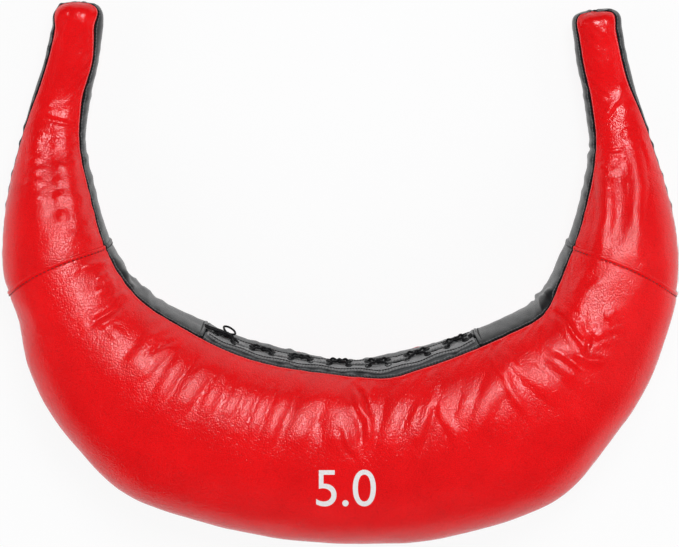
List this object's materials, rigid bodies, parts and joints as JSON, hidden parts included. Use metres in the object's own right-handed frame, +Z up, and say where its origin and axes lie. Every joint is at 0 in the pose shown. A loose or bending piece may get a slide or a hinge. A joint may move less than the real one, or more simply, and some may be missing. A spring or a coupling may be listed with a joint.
{
  "type": "fitness power bag",
  "caption": "Crescent-shaped soft training weight with stuffed grip horns and a laced opening for its filling.",
  "frame": {"origin": "middle of the bag's box on the floor, with the bag lying on its back", "axes": "+X across the bag from horn to horn, +Y from the belly towards the horn tips, +Z up through the thickness out of the front panel"},
  "size_m": [0.5696, 0.4596, 0.1299],
  "materials": {
    "red_leather": "semi-gloss grained synthetic leather",
    "black_leather": "satin grained synthetic leather",
    "grey_flap": "matt coated cloth",
    "black_lace": "braided cord",
    "pale_wadding": "loose wadding",
    "sand_cloth": "plain woven cloth"
  },
  "bodies": {
    "body": {"front_body_panel": "red_leather", "back_body_panel": "red_leather", "outer_body_gusset": "black_leather", "left_inner_gusset": "black_leather", "right_inner_gusset": "black_leather", "front_placket": "black_leather", "back_placket": "black_leather", "front_lacing_flap": "grey_flap", "back_lacing_flap": "grey_flap", "lacing_tongue": "grey_flap", "lace": "black_lace", "lace_knot": "black_lace", "front_wadding_pad": "pale_wadding", "back_wadding_pad": "pale_wadding", "left_sand_pouch": "sand_cloth", "centre_sand_pouch": "sand_cloth", "right_sand_pouch": "sand_cloth"},
    "left_horn": {"left_horn_front_panel": "red_leather", "left_horn_back_panel": "red_leather", "left_horn_inner_gusset": "black_leather", "left_horn_outer_gusset": "black_leather", "left_tip_knot": "black_leather", "left_horn_filling": "pale_wadding", "left_grip_core": "sand_cloth"},
    "right_horn": {"right_horn_front_panel": "red_leather", "right_horn_back_panel": "red_leather", "right_horn_inner_gusset": "black_leather", "right_horn_outer_gusset": "black_leather", "right_tip_knot": "black_leather", "right_horn_filling": "pale_wadding", "right_grip_core": "sand_cloth"}
  },
  "joints": [
    {"name": "left_horn_flex", "type": "hinge", "parent": "body", "child": "left_horn", "pos_m": [-0.2052, -0.0655, 0.045], "axis": [0, 0, -1], "range_deg": [-10, 15], "stiffness_Nm_per_rad": 10},
    {"name": "right_horn_flex", "type": "hinge", "parent": "body", "child": "right_horn", "pos_m": [0.2052, -0.0655, 0.045], "axis": [0, 0, 1], "range_deg": [-10, 15], "stiffness_Nm_per_rad": 10}
  ]
}
